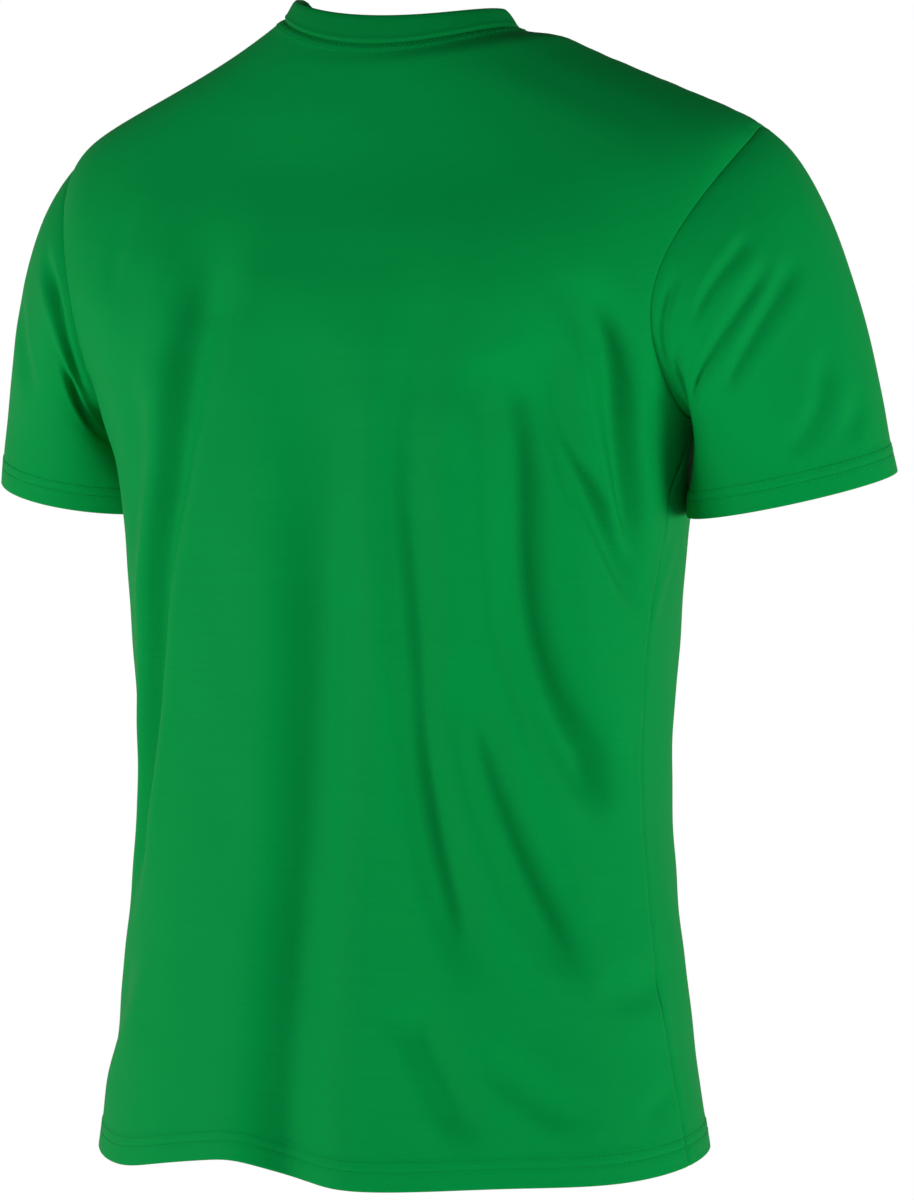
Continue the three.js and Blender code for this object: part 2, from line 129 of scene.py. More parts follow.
# %% A curve through a table, and the sections' curves
def bend_through(xs, ys):
    """A natural cubic curve through the points: its slope and its bend both change smoothly."""
    xs, ys = np.array(xs, float), np.array(ys, float)
    steps, count = np.diff(xs), len(xs)
    matrix, jumps = np.eye(count), np.zeros(count)
    for i in range(1, count - 1):
        matrix[i, i - 1 : i + 2] = steps[i - 1], 2 * (steps[i - 1] + steps[i]), steps[i]
        jumps[i] = 6 * ((ys[i + 1] - ys[i]) / steps[i] - (ys[i] - ys[i - 1]) / steps[i - 1])
    bends = np.linalg.solve(matrix, jumps)

    def curve(x):
        x = np.asarray(x, float)
        i = np.clip(np.searchsorted(xs, x, side="right") - 1, 0, count - 2)
        after = (x - xs[i]) / steps[i]
        before = 1 - after
        bent = (before**3 - before) * bends[i] + (after**3 - after) * bends[i + 1]
        return before * ys[i] + after * ys[i + 1] + bent * steps[i] ** 2 / 6

    return curve


columns_of_sections = list(zip(*SECTIONS))
section = {
    name: bend_through(columns_of_sections[0], column)
    for name, column in zip(SECTION_COLUMNS[1:], columns_of_sections[1:])
}
hem_lift = bend_through(*zip(*HEM_WAVES))
print("half width at the chest:", round(float(section["wide"](-300)), 1), "mm")


# %% Seam lines and the smooth body
def ease(x):
    x = np.clip(x, 0, 1)
    return x * x * (3 - 2 * x)


def power(x, p):
    return np.sign(x) * np.abs(x) ** p


def unit(v):
    return v / np.maximum(np.linalg.norm(v, axis=-1, keepdims=True), 1e-9)


def wrapped(angle):
    return (np.asarray(angle, float) + 180) % 360 - 180


def seam_angle(z):
    up = ease((z - UNDERARM_Z + 155) / 155)
    down = ease((HEM_Z + 146 - z) / 146)
    return SIDE_SEAM + SEAM_TURN_AT_UNDERARM * up + SEAM_TURN_AT_HEM * down


def armhole_cut(z):
    up = np.clip((z - UNDERARM_Z) / (SHOULDER_TIP_Z - UNDERARM_Z), 0, 1)
    return np.maximum(0, np.sin(np.pi * up)) ** ARMHOLE_ROUND


def back_edge(z):
    return seam_angle(z) - ARMHOLE_BACK * armhole_cut(z)


def front_edge(z):
    return seam_angle(z) + ARMHOLE_FRONT * armhole_cut(z)


def body_form(angle, z):
    """A place on the smooth body: angle 0 is the centre back, 90 the wearer's left side."""
    angle, z = np.broadcast_arrays(np.asarray(angle, float), np.asarray(z, float))
    c, s = np.cos(np.radians(angle)), np.sin(np.radians(angle))
    p = 2 / section["square"](z)
    depth = np.where(c > 0, section["back"](z), section["front"](z))
    fall_back = section["back_drop"](z) * c * c
    fall_front = section["front_drop"](z) * np.abs(c) ** NECK_ROUND
    reach = np.clip((HEM_Z + HEM_WAVE_REACH - z) / HEM_WAVE_REACH, 0, 1) ** 2
    lift = hem_lift(wrapped(angle)) * reach
    x = section["wide"](z) * power(s, p)
    y = section["middle"](z) + depth * power(c, p)
    tilt = NECK_TILT * (1 - s) / 2 * ease((z + NECK_TILT_REACH) / NECK_TILT_REACH)
    return np.stack([x, y, z - np.where(c > 0, fall_back, fall_front) + lift - tilt], -1)


def outward(form, u, v, du, dv):
    """The direction square to a form, from small steps along it."""
    along = form(u + du, v) - form(u - du, v)
    up = form(u, v + dv) - form(u, v - dv)
    return unit(np.cross(along, up))


def body_normal(angle, z):
    return outward(body_form, np.asarray(angle, float), np.asarray(z, float), -0.1, 0.1)


# %% [markdown]
# ## The form of a sleeve
# A set-in sleeve starts on the armhole, which is a tall bent loop, and ends in a cuff, which is nearly a circle.
# Each line from one to the other is a curve that leaves the armhole in one direction and meets the cuff in
# another. The cap's fullness comes from how strongly it leaves at the top.

# %% Sleeve form
CUFF_MIDDLE = np.array([245, -36, -295.0])
CUFF_ACROSS = 65
CUFF_DEEP = 57
CUFF_OUTWARD = np.array([0.985, 0, 0.17])
CUFF_BACKWARD = np.array([0, 0.985, -0.17])
LEAVE_UNDERARM = np.array([80, -16, -20.0])
LEAVE_TOP = np.array([143, -24, -85.0])
LEAVE_BACKWARD = 10
MEET_UNDERARM = 60
MEET_TOP = 144
SLEEVE_GIRTH = 430
SLEEVE_LENGTH = 200


def armhole_place(turn):
    """Angle and height on the armhole: turn 0 is the underarm, 0.25 the back, 0.5 the shoulder tip."""
    t = np.asarray(turn, float) % 1
    z = UNDERARM_Z + (SHOULDER_TIP_Z - UNDERARM_Z) * (1 - np.cos(2 * np.pi * t)) / 2
    return np.where(t <= 0.5, back_edge(z), front_edge(z)), z


def sleeve_form(turn, t):
    turn, t = np.broadcast_arrays(np.asarray(turn, float), np.asarray(t, float))
    around, t = 2 * np.pi * turn[..., None], t[..., None]
    top = (1 - np.cos(around)) / 2
    start = body_form(*armhole_place(turn))
    end = CUFF_MIDDLE - CUFF_OUTWARD * CUFF_ACROSS * np.cos(around) + CUFF_BACKWARD * CUFF_DEEP * np.sin(around)
    leave = LEAVE_UNDERARM + (LEAVE_TOP - LEAVE_UNDERARM) * top
    leave = leave + np.array([0, LEAVE_BACKWARD, 0]) * np.sin(around)
    down = unit(np.cross(CUFF_BACKWARD, CUFF_OUTWARD))
    meet = down * (MEET_UNDERARM + (MEET_TOP - MEET_UNDERARM) * top)
    from_start = start * (2 * t**3 - 3 * t**2 + 1) + leave * (t**3 - 2 * t**2 + t)
    return from_start + end * (3 * t**2 - 2 * t**3) + meet * (t**3 - t**2)


def sleeve_normal(turn, t):
    return outward(sleeve_form, np.asarray(turn, float), np.maximum(t, 0.02), 0.002, 0.004)


def armhole_normal(turn):
    return unit(body_normal(*armhole_place(turn)) + sleeve_normal(turn, 0.02))


# %% [markdown]
# ## The form of the neckband
# The band is a strip folded double and sewn round the neck. It stands up from the seam and leans in, more at
# the sides, where the neck is steep, than at the back.

# %% Neckband form
BAND_RISE_SIDE, BAND_RISE_BACK = 11, 17
BAND_LEAN_SIDE, BAND_LEAN_BACK = 7, 4


def band_form(angle, t):
    angle, t = np.broadcast_arrays(np.asarray(angle, float), np.asarray(t, float))
    foot = body_form(angle, 0)
    back = np.maximum(0, np.cos(np.radians(angle)))[..., None] ** 2
    inward = unit(foot * np.array([-1, -1, 0]))
    rise = (BAND_RISE_SIDE + (BAND_RISE_BACK - BAND_RISE_SIDE) * back) * t[..., None]
    lean = (BAND_LEAN_SIDE + (BAND_LEAN_BACK - BAND_LEAN_SIDE) * back) * t[..., None]
    return foot + inward * lean + np.array([0, 0, 1]) * rise


def band_normal(angle, t):
    return outward(band_form, np.asarray(angle, float), np.asarray(t, float), -0.1, 0.02)


def neck_normal(angle):
    return unit(body_normal(angle, -2.0) + band_normal(angle, 0.5))


# %% [markdown]
# ## Folds
# Cloth that hangs from the shoulders and is caught under the arms falls in long soft troughs. Each one here is
# listed: a path on the cloth, how broad and how deep the trough is, which of its two sides is the steeper
# one, and how gently it starts and ends. Low ridges rise on both sides of a trough, because cloth doesn't stretch.
# A simulation would put folds where it likes; the photograph says where these are.

# %% Fold tables
# name, breadth, depth, lean, fade at the start, fade at the end, path of (angle, height)
BODY_FOLDS = [
    ("left_blade", 10, 1.3, 0.0, 0.4, 0.4, [(32.5, -86), (35.5, -116), (37.5, -163)]),
    ("left_long", 19, 12.0, 0.05, 0.2, 0.25,
     [(15, -79), (16, -168), (26, -253), (38, -338), (48, -426), (54, -475), (61, -575)]),
    ("left_second", 20, 2.5, -0.2, 0.4, 0.4, [(31, -190), (44, -280), (58, -352), (70, -400)]),
    ("middle", 25, 12.5, 0.05, 0.4, 0.0,
     [(-1, -150), (-1.5, -301), (0.5, -469), (2, -565), (3, -660), (2.5, -716)]),
    ("right_middle", 17, 9.0, 0.15, 0.5, 0.12,
     [(-13, -85), (-15, -199), (-18.5, -336), (-21.5, -430), (-26.5, -518), (-33.5, -595)]),
    ("right_long", 26, 13.0, 0.2, 0.15, 0.15,
     [(-28, -204), (-39.5, -262), (-44, -348), (-54.5, -430), (-74, -486)]),
    ("right_upper", 15, 11.0, 0.1, 0.3, 0.2, [(-36, -148), (-52.5, -212), (-64, -262), (-73, -306), (-80, -345)]),
    ("right_blade", 13, 9.0, 0.1, 0.5, 0.25, [(-31.5, -174), (-51, -265), (-72.5, -342), (-83, -372)]),
    ("right_waist", 21, 10.5, 0.2, 0.35, 0.25, [(-29.5, -380), (-33.5, -435), (-44.5, -518), (-58, -572), (-65, -582)]),
    ("right_hip", 16, 3.0, 0.0, 0.4, 0.4, [(-60.5, -588), (-76.5, -592), (-88.5, -583)]),
    ("right_skirt", 15, 6.8, 0.2, 0.25, 0.3, [(-18, -596), (-23.5, -627), (-27.5, -655), (-33, -684)]),
    ("right_skirt_low", 14, 4.0, 0.1, 0.35, 0.4, [(-32, -619), (-50.5, -662), (-59.5, -672)]),
    ("right_hem", 12, 1.6, 0.0, 0.4, 0.4, [(-88.5, -655), (-74.5, -668), (-70.5, -679)]),
    ("right_pinch", 7, -1.2, 0.0, 0.4, 0.4, [(-96, -322), (-90.5, -346), (-86.5, -378)]),
    ("right_arm_hollow", 16, 3.0, 0.0, 0.3, 0.5, [(-66, -210), (-76, -250), (-92, -300), (-99, -340)]),
    ("left_arm_hollow", 16, 8.0, 0.0, 0.3, 0.5, [(66, -205), (78, -252), (92, -305), (97, -350)]),
    ("left_hip", 26, 3.0, -0.1, 0.35, 0.35, [(50, -560), (62, -620), (80, -655)]),
    ("front_left_long", 26, 4.6, 0.3, 0.3, 0.35, [(150, -170), (143, -290), (124, -420), (104, -520)]),
    ("front_middle", 28, 4.4, -0.3, 0.45, 0.0, [(165, -240), (171, -400), (171, -560), (168, -716)]),
    ("front_right_long", 25, 4.6, 0.2, 0.3, 0.35, [(212, -175), (221, -280), (238, -390), (256, -470)]),
    ("front_right_skirt", 28, 4.0, 0.3, 0.45, 0.0, [(200, -330), (198, -450), (203, -600), (208, -716)]),
    ("front_left_arm", 15, 3.0, 0.1, 0.3, 0.4, [(138, -170), (122, -232), (104, -290)]),
    ("front_right_arm", 16, 3.2, 0.1, 0.3, 0.4, [(219, -165), (236, -225), (255, -285)]),
    ("front_left_waist", 20, 2.8, 0.2, 0.35, 0.4, [(140, -420), (128, -500), (112, -560), (100, -585)]),
    ("front_right_waist", 20, 2.6, 0.1, 0.35, 0.4, [(226, -455), (240, -530), (254, -575)]),
]
LEFT_SLEEVE_FOLDS = [
    ("back_upper", 11, 7.5, 0.0, 0.3, 0.3, [(0.33, 0.15), (0.26, 0.11), (0.18, 0.09), (0.10, 0.08)]),
    ("back_under", 13, 5.5, 0.0, 0.35, 0.4, [(0.17, 0.16), (0.13, 0.32), (0.087, 0.48)]),
    ("back_lower", 15, 3.5, 0.1, 0.4, 0.4, [(0.37, 0.36), (0.325, 0.47), (0.26, 0.56)]),
    ("front_upper", 14, 3.0, 0.0, 0.3, 0.4, [(0.62, 0.2), (0.7, 0.3), (0.8, 0.42)]),
    ("front_lower", 14, 2.2, 0.1, 0.4, 0.4, [(0.6, 0.5), (0.68, 0.6), (0.78, 0.68)]),
]
RIGHT_SLEEVE_FOLDS = [
    ("back_first", 7, 2.6, 0.1, 0.2, 0.25, [(0.36, 0.23), (0.30, 0.235), (0.24, 0.25)]),
    ("back_second", 7.5, 3.4, 0.1, 0.2, 0.2, [(0.37, 0.32), (0.312, 0.36), (0.25, 0.385), (0.165, 0.38)]),
    ("back_third", 8, 3.4, 0.15, 0.2, 0.2, [(0.40, 0.36), (0.333, 0.43), (0.24, 0.535)]),
    ("back_fourth", 10, 2.8, 0.1, 0.25, 0.3, [(0.39, 0.58), (0.385, 0.68), (0.36, 0.75), (0.304, 0.81)]),
    ("top_lower", 11, 2.2, 0.0, 0.4, 0.4, [(0.46, 0.72), (0.43, 0.79), (0.40, 0.84)]),
    ("back_seam", 8, 4.5, 0.0, 0.3, 0.3, [(0.28, 0.09), (0.21, 0.07), (0.13, 0.07)]),
    ("under", 13, 3.0, 0.0, 0.35, 0.4, [(0.19, 0.14), (0.13, 0.25), (0.08, 0.4)]),
    ("front_upper", 14, 2.8, 0.0, 0.3, 0.4, [(0.62, 0.2), (0.7, 0.3), (0.8, 0.42)]),
    ("front_lower", 13, 2.0, 0.1, 0.4, 0.4, [(0.6, 0.45), (0.7, 0.58), (0.8, 0.66)]),
]


# %% One fold's height over its cloth
def fold_height(x, y, breadth, depth, lean, fade_in, fade_out, path):
    """Millimetres that one fold moves the cloth out or in, at places x, y in millimetres on the cloth."""
    path = np.array(path, float)
    marks = np.concatenate([[0], np.cumsum(np.hypot(*np.diff(path, axis=0).T))])
    spread = np.linspace(0, marks[-1], 36)
    line = np.stack([bend_through(marks, path[:, k])(spread) for k in (0, 1)], -1)
    height = np.zeros(x.shape)
    reach = 3.2 * breadth
    low, high = line.min(0) - reach, line.max(0) + reach
    near = (x > low[0]) & (x < high[0]) & (y > low[1]) & (y < high[1])
    if not near.any():
        return height
    start, step = line[:-1], np.diff(line, axis=0)
    length = np.hypot(*step.T)
    rel = np.stack([x[near], y[near]], -1)[:, None, :] - start
    t = np.clip((rel * step).sum(-1) / length**2, 0, 1)
    gap = rel - t[..., None] * step
    away = np.hypot(gap[..., 0], gap[..., 1])
    k = away.argmin(1)
    pick = np.arange(len(k))
    side = np.sign(step[k, 0] * gap[pick, k, 1] - step[k, 1] * gap[pick, k, 0])
    off = side * away[pick, k]
    along = (k + t[pick, k]) / len(step)
    across = off / (breadth * (1 - lean * np.tanh(off / breadth)))
    shape = -(1 - 1.1 * across**2) * np.exp(-(across**2))
    starts = ease(along / fade_in) if fade_in else 1
    ends = ease((1 - along) / fade_out) if fade_out else 1
    height[near] = depth * shape * starts * ends
    return height


def body_folds_height(angle, z):
    height = np.zeros(np.shape(angle))
    for _, breadth, depth, lean, fade_in, fade_out, path in BODY_FOLDS:
        middle = np.mean([place[0] for place in path])
        nearest = angle + 360 * np.round((middle - angle) / 360)
        cloth = [(place[0] * ARC, place[1]) for place in path]
        height += fold_height(nearest * ARC, z, breadth, depth, lean, fade_in, fade_out, cloth)
    return height


def sleeve_folds_height(folds, turn, t):
    height = np.zeros(np.shape(turn))
    for _, breadth, depth, lean, fade_in, fade_out, path in folds:
        cloth = [(place[0] * SLEEVE_GIRTH, place[1] * SLEEVE_LENGTH) for place in path]
        height += fold_height(turn * SLEEVE_GIRTH, t * SLEEVE_LENGTH, breadth, depth, lean, fade_in, fade_out, cloth)
    return height


# %% [markdown]
# Between the folds real cloth is never quite even. A few long, low waves in fixed directions are enough: they
# shift the light a little and are too low to see as bumps.

# %% Low waves
WAVES = [(0.9, 0.2, 118, 0.40), (0.3, 1.0, 151, 0.32), (-0.7, 0.6, 87, 0.26), (1.0, -0.5, 61, 0.18), (0.2, -1.0, 47, 0.12)]


def low_waves(x, y, start):
    height = np.zeros(np.shape(x))
    for i, (across, up, length, rise) in enumerate(WAVES):
        height += rise * np.sin((across * x + up * y) * 2 * np.pi / length + 1.7 * i + start)
    return height


# %% [markdown]
# ## From a grid of places to sewn cloth
# Every piece is a grid of rows and columns on its form. The cloth is a closed shell: the outer side, a rounded
# edge, the inner side and the other edge, joined in one loop of rows. At a seam the cloth rolls in over the
# last two millimetres and swells a little beside it, and at a hem it is double and has two sunk stitch lines.

# %% Grid helpers
CLOTH = 1.0
HEM_CLOTH = 2.0
BODY_HEM = 18
SLEEVE_HEM = 17
NEEDLE_LINES = (10.6, 16.4)
SEAM_ROLL, SEAM_ROLL_WIDTH = 0.95, 1.5
SEAM_SWELL, SEAM_SWELL_AT, SEAM_SWELL_WIDTH = 0.6, 4.2, 2.6
SIDE_PRESSED, ARMHOLE_PRESSED = 0.5, 0.82  # share of the roll that pressing takes out of a seam
EDGE_STEPS = (0, 0.6, 1.2, 2.0, 3.0, 4.3, 6.0, 8.5)


def grid_normals(points, loop):
    rows = np.gradient(points, axis=0)
    if loop:
        columns = np.roll(points, -1, 1) - np.roll(points, 1, 1)
    else:
        columns = np.gradient(points, axis=1)
    return unit(np.cross(columns, rows))


def lengths_along(points, axis):
    """Distance walked over the grid along rows (axis 1) or columns (axis 0), from the first one."""
    steps = np.linalg.norm(np.diff(points, axis=axis), axis=-1)
    pad = [(0, 0), (0, 0)]
    pad[axis] = (1, 0)
    return np.pad(np.cumsum(steps, axis=axis), pad)


def seam_roll(gap):
    sunk = -SEAM_ROLL * np.exp(-((gap / SEAM_ROLL_WIDTH) ** 2))
    return sunk + SEAM_SWELL * np.exp(-(((gap - SEAM_SWELL_AT) / SEAM_SWELL_WIDTH) ** 2))


def needle_lines(gap, lines=NEEDLE_LINES):
    return sum(-0.34 * np.exp(-(((gap - line) / 0.9) ** 2)) for line in lines)


def hem_swell(gap, height):
    return 0.55 * ease((height + 0.6 - gap) / 1.4)


def toward(directions, wanted, share):
    return unit(directions + (wanted - directions) * share[..., None])


# %% The shell's mesh
def shell(name, outer, directions, thickness, loop, round_first, round_last, cloth_uv, mirror=False):
    """A closed cloth wall as an object. round_first and round_last say how far the two row ends bulge, in mm."""
    inner = outer - directions * thickness[..., None]
    walls = []
    for row, beside, bulge in ((-1, -2, round_last), (0, 1, round_first)):
        ahead = outer[row] - outer[beside]
        ahead = unit(ahead - directions[row] * (ahead * directions[row]).sum(-1, keepdims=True))
        half = thickness[row][:, None] / 2
        turns = [math.pi * k / 4 for k in (1, 2, 3)]
        rim = [outer[row] - directions[row] * half * (1 - math.cos(a)) + ahead * bulge * math.sin(a) for a in turns]
        walls.append(rim if row == -1 else rim[::-1])
    rows = np.concatenate([outer, np.array(walls[0]), inner[::-1], np.array(walls[1])])
    count, columns = rows.shape[:2]
    size = len(outer)
    if mirror:
        rows = rows * np.array([-1, 1, 1])
    span = columns if loop else columns - 1
    i, j = np.meshgrid(np.arange(count), np.arange(span), indexing="ij")
    corner_rows = np.stack([i, i, (i + 1) % count, (i + 1) % count], -1).reshape(-1, 4)
    corner_columns = np.stack([j, j + 1, j + 1, j], -1).reshape(-1, 4)
    if mirror:
        corner_rows, corner_columns = corner_rows[:, ::-1], corner_columns[:, ::-1]
    faces = [tuple(face) for face in (corner_rows * columns + corner_columns % columns).tolist()]
    u, v = cloth_uv
    middle = [np.repeat(a[-1:], 3, 0) for a in (u, v)]
    first = [np.repeat(a[:1], 3, 0) for a in (u, v)]
    whole = [np.concatenate([a, m, a[::-1], f]) for a, m, f in zip((u, v), middle, first)]
    uvs = np.stack([a[corner_rows, corner_columns] for a in whole], -1).reshape(-1, 2) * 0.001
    if not loop:
        def at(row, column):
            return int(row) * columns + column
        for column, flip in ((0, True), (columns - 1, False)):
            pairs = [(k, size + 3 + size - 1 - k) for k in range(size)]
            strip = [(at(pairs[k][0], column), at(pairs[k + 1][0], column), at(pairs[k + 1][1], column),
                      at(pairs[k][1], column)) for k in range(size - 1)]
            strip.append(tuple(at(row, column) for row in (size - 1, size, size + 2, size + 3)))
            strip.append(tuple(at(row, column) for row in (size, size + 1, size + 2)))
            last = count - 1
            strip.append(tuple(at(row, column) for row in (0, size + 3 + size - 1, last - 2, last)))
            strip.append(tuple(at(row, column) for row in (last, last - 2, last - 1)))
            turned = [face if flip == mirror else face[::-1] for face in strip]
            faces += [face[::-1] for face in turned]
            where = [(face_index // columns, face_index % columns) for face in turned for face_index in face[::-1]]
            uvs = np.concatenate([uvs, np.array([[whole[0][r, c], whole[1][r, c]] for r, c in where]) * 0.001])
    mesh = bpy.data.meshes.new(name)
    mesh.from_pydata((rows.reshape(-1, 3) * 0.001).tolist(), [], faces)
    layer = mesh.uv_layers.new(name="cloth")
    layer.data.foreach_set("uv", uvs.astype(np.float32).ravel())
    mesh.polygons.foreach_set("use_smooth", np.ones(len(mesh.polygons), bool))
    mesh.update()
    made = bpy.data.objects.new(name, mesh)
    scene.collection.objects.link(made)
    volume = signed_volume(mesh)
    print(f"{name}: {len(mesh.vertices)} points, {triangles(mesh)} triangles, {volume * 1e6:.1f} ml of cloth")
    return made


def triangles(mesh):
    return sum(len(face.vertices) - 2 for face in mesh.polygons)


def signed_volume(mesh):
    mesh.calc_loop_triangles()
    corners = np.empty(len(mesh.loop_triangles) * 3, int)
    mesh.loop_triangles.foreach_get("vertices", corners)
    places = np.empty(len(mesh.vertices) * 3)
    mesh.vertices.foreach_get("co", places)
    a, b, c = (places.reshape(-1, 3)[corners.reshape(-1, 3)[:, k]] for k in range(3))
    return float((a * np.cross(b, c)).sum() / 6)


# %% [markdown]
# ## The back and the front
# Both panels use the same rows, so their side and shoulder seams meet point for point. Rows lie close together
# in the hem, along the curve of the armhole and at the neck, where the cloth's shape changes fastest.

# %% Rows and columns of the panels
SKIRT_ROWS, ARMHOLE_ROWS, YOKE_ROWS = 118, 60, 44
HEM_ROWS = (0, 0.7, 1.7, 3.2, 5.4, 7.8, 9.7, 10.6, 11.5, 13.4, 15.4, 16.4, 17.3, 18.2, 19.4)

heights = [HEM_Z + step for step in HEM_ROWS]
heights += list(np.linspace(heights[-1], UNDERARM_Z, SKIRT_ROWS + 1)[1:])
underarm_row = len(heights) - 1
heights += [float(armhole_place(k / ARMHOLE_ROWS / 2)[1]) for k in range(1, ARMHOLE_ROWS + 1)]
tip_row = len(heights) - 1
yoke_shares = np.concatenate([np.linspace(0, 0.97, YOKE_ROWS - 4)[1:], [0.978, 0.985, 0.991, 0.996, 1]])
heights += [SHOULDER_TIP_Z * (1 - share) for share in yoke_shares]
heights = np.array(heights)


def edge_shares(arc, middle_columns):
    """Shares of a row's width, with narrow steps beside both seams."""
    near = np.array(EDGE_STEPS)[None, :] / arc[:, None]
    inside = np.linspace(0, 1, middle_columns + 2)[1:-1][None, :]
    inside = near[:, -1:] + (1 - 2 * near[:, -1:]) * inside
    return np.concatenate([near, inside, 1 - near[:, ::-1]], 1)


def seam_puckers(gap, run, start):
    """Small pulls of the cloth beside a seam, dying away from it."""
    pull = np.sin(run * 2 * np.pi / 17 + start) + 0.7 * np.sin(run * 2 * np.pi / 29 + 2 * start)
    return 0.13 * pull * np.exp(-((gap / 11) ** 2)) * ease(gap / 2)


# %% Shape a panel
def panel(name, first_edge, last_edge, middle_columns, wave_start):
    first, last = first_edge(heights), last_edge(heights)
    shares = edge_shares(np.abs(last - first) * ARC, middle_columns)
    angle = first[:, None] + (last - first)[:, None] * shares
    z = np.repeat(heights[:, None], angle.shape[1], 1)
    base = body_form(angle, z)
    directions = grid_normals(base, False)
    across = lengths_along(base, 1)
    up = lengths_along(base, 0)
    from_first, from_last, from_top = across, across[:, -1:] - across, up[-1:] - up
    gap = np.minimum(from_first, from_last)
    fade = 1 + (ease(gap / 15) - 1) * ease((z - UNDERARM_Z + 45) / 45)
    fade = fade * ease((-8 - z) / 45)
    height = body_folds_height(angle, z) * fade
    height += low_waves(wrapped(angle) * ARC, z, wave_start) * fade * ease(up / 60)
    pressed = 1 - SIDE_PRESSED - (ARMHOLE_PRESSED - SIDE_PRESSED) * ease((z - UNDERARM_Z) / 25)
    height += seam_roll(gap) * pressed + seam_roll(from_top) + hem_swell(up, BODY_HEM) + needle_lines(up)
    height += needle_lines(from_top, (1.8, 6.0)) * 0.8
    height += seam_puckers(gap, up, wave_start) * (z > UNDERARM_Z - 60)
    turns = np.linspace(0, 0.5, ARMHOLE_ROWS + 1)
    edge_normals = [None, None]
    for k, column in enumerate((0, -1)):
        is_back = np.abs(wrapped(angle[underarm_row + 10, column])) < seam_angle(heights[underarm_row + 10])
        along = armhole_normal(turns if is_back else 1 - turns)
        if wrapped(angle[underarm_row + 10, column]) < 0:
            along = along * np.array([-1, 1, 1])
        edge_normals[k] = along
    neck = neck_normal(angle[-1])
    def mitred(field):
        rows = slice(underarm_row, tip_row + 1)
        for normals, distance in zip(edge_normals, (from_first, from_last)):
            wanted = np.broadcast_to(normals[:, None, :], field[rows].shape)
            field[rows] = toward(field[rows], wanted, np.exp(-((distance[rows] / 2.6) ** 2)))
        return toward(field, np.broadcast_to(neck[None], field.shape), np.exp(-((from_top / 2.6) ** 2)))
    directions = mitred(directions)
    outer = base + directions * height[..., None]
    for column, sign in ((0, -1), (-1, 1)):
        line = unit(np.gradient(base[:, column], axis=0))
        outer[:, column] += sign * unit(np.cross(directions[:, column], line)) * SEAM_SETBACK
    thickness = CLOTH + (HEM_CLOTH - CLOTH) * ease((BODY_HEM + 1.0 - up) / 1.2)
    shaped = mitred(grid_normals(outer, False))
    middle = across[:, -1:] / 2
    rise = np.repeat(up[:, up.shape[1] // 2][:, None], up.shape[1], 1)
    made = shell(name, outer, shaped, thickness, False, 0.9, 0.08, (across - middle, rise))
    grid = {"outer": outer, "normals": shaped, "angle": angle, "up": up, "across": across, "top": from_top,
            "thickness": thickness}
    return made, grid


back_panel, back_grid = panel("back_cloth", back_edge, lambda z: -back_edge(z), 160, 0.4)
front_panel, front_grid = panel(
    "front_cloth", lambda z: -front_edge(z), lambda z: front_edge(z) - 360, 134, 2.3
)

# %% [markdown]
# ## The sleeves
# A sleeve's columns start at the same places on the armhole as the panels' rows, so the seam closes point for
# point. The wearer's right sleeve is the left one's form turned over, with its own folds.


# %% Shape a sleeve
def sleeve(name, folds, mirror, wave_start):
    hem_share = np.array([19.4, 18.2, 17.3, 16.4, 15.4, 13.4, 11.5, 10.6, 9.7, 7.6, 5.2, 3.0, 1.6, 0.7, 0]) / 196
    near = np.array([0, 0.6, 1.2, 2.0, 3.0, 4.3, 6.0, 8.5]) / 210
    shares = np.concatenate([near, np.linspace(near[-1], 1 - hem_share[0], 56)[1:-1], 1 - hem_share])
    turn = np.arange(ARMHOLE_ROWS * 2) / (ARMHOLE_ROWS * 2)
    turn, t = np.meshgrid(turn, shares)
    base = sleeve_form(turn, t)
    directions = grid_normals(base, True)
    down = lengths_along(base, 0)
    to_cuff = down[-1:] - down
    height = sleeve_folds_height(folds, turn, t) * ease(down / 18) * ease(to_cuff / 26)
    height += low_waves(turn * SLEEVE_GIRTH, t * SLEEVE_LENGTH, wave_start) * ease(down / 30) * ease(to_cuff / 40) * 0.8
    height += seam_roll(down) * (1 - ARMHOLE_PRESSED) + hem_swell(to_cuff, SLEEVE_HEM) + needle_lines(to_cuff)
    height += seam_puckers(down, turn * 540, wave_start)
    seam = armhole_normal(turn[0])
    share = np.exp(-((down / 2.6) ** 2))
    directions = toward(directions, np.broadcast_to(seam[None], directions.shape), share)
    outer = base + directions * height[..., None]
    line = unit(np.roll(base[0], -1, 0) - np.roll(base[0], 1, 0))
    outer[0] += unit(np.cross(directions[0], line)) * SEAM_SETBACK
    shaped = toward(grid_normals(outer, True), np.broadcast_to(seam[None], directions.shape), share)
    thickness = CLOTH + (HEM_CLOTH - CLOTH) * ease((SLEEVE_HEM + 1.0 - to_cuff) / 1.2)
    wrapped_turn = np.concatenate([turn, turn[:, :1] + 1], 1)
    rise = np.concatenate([down, down[:, :1]], 1)
    uv = ((wrapped_turn - 0.5) * SLEEVE_GIRTH, 230 - rise)
    made = shell(name, outer, shaped, thickness, True, 0.08, 0.9, uv, mirror)
    return made, {"outer": outer, "normals": shaped, "down": down, "cuff": to_cuff, "turn": turn, "mirror": mirror}


left_sleeve, left_grid = sleeve("left_sleeve_cloth", LEFT_SLEEVE_FOLDS, False, 1.1)
right_sleeve, right_grid = sleeve("right_sleeve_cloth", RIGHT_SLEEVE_FOLDS, True, 3.7)

# %% [markdown]
# ## The neckband
# The band is double cloth with a soft rounded top. Its foot swells where the seam allowance is pressed up
# inside it, which is the light line that runs round the neck in the photograph. Its two ends are joined over
# the wearer's left shoulder.

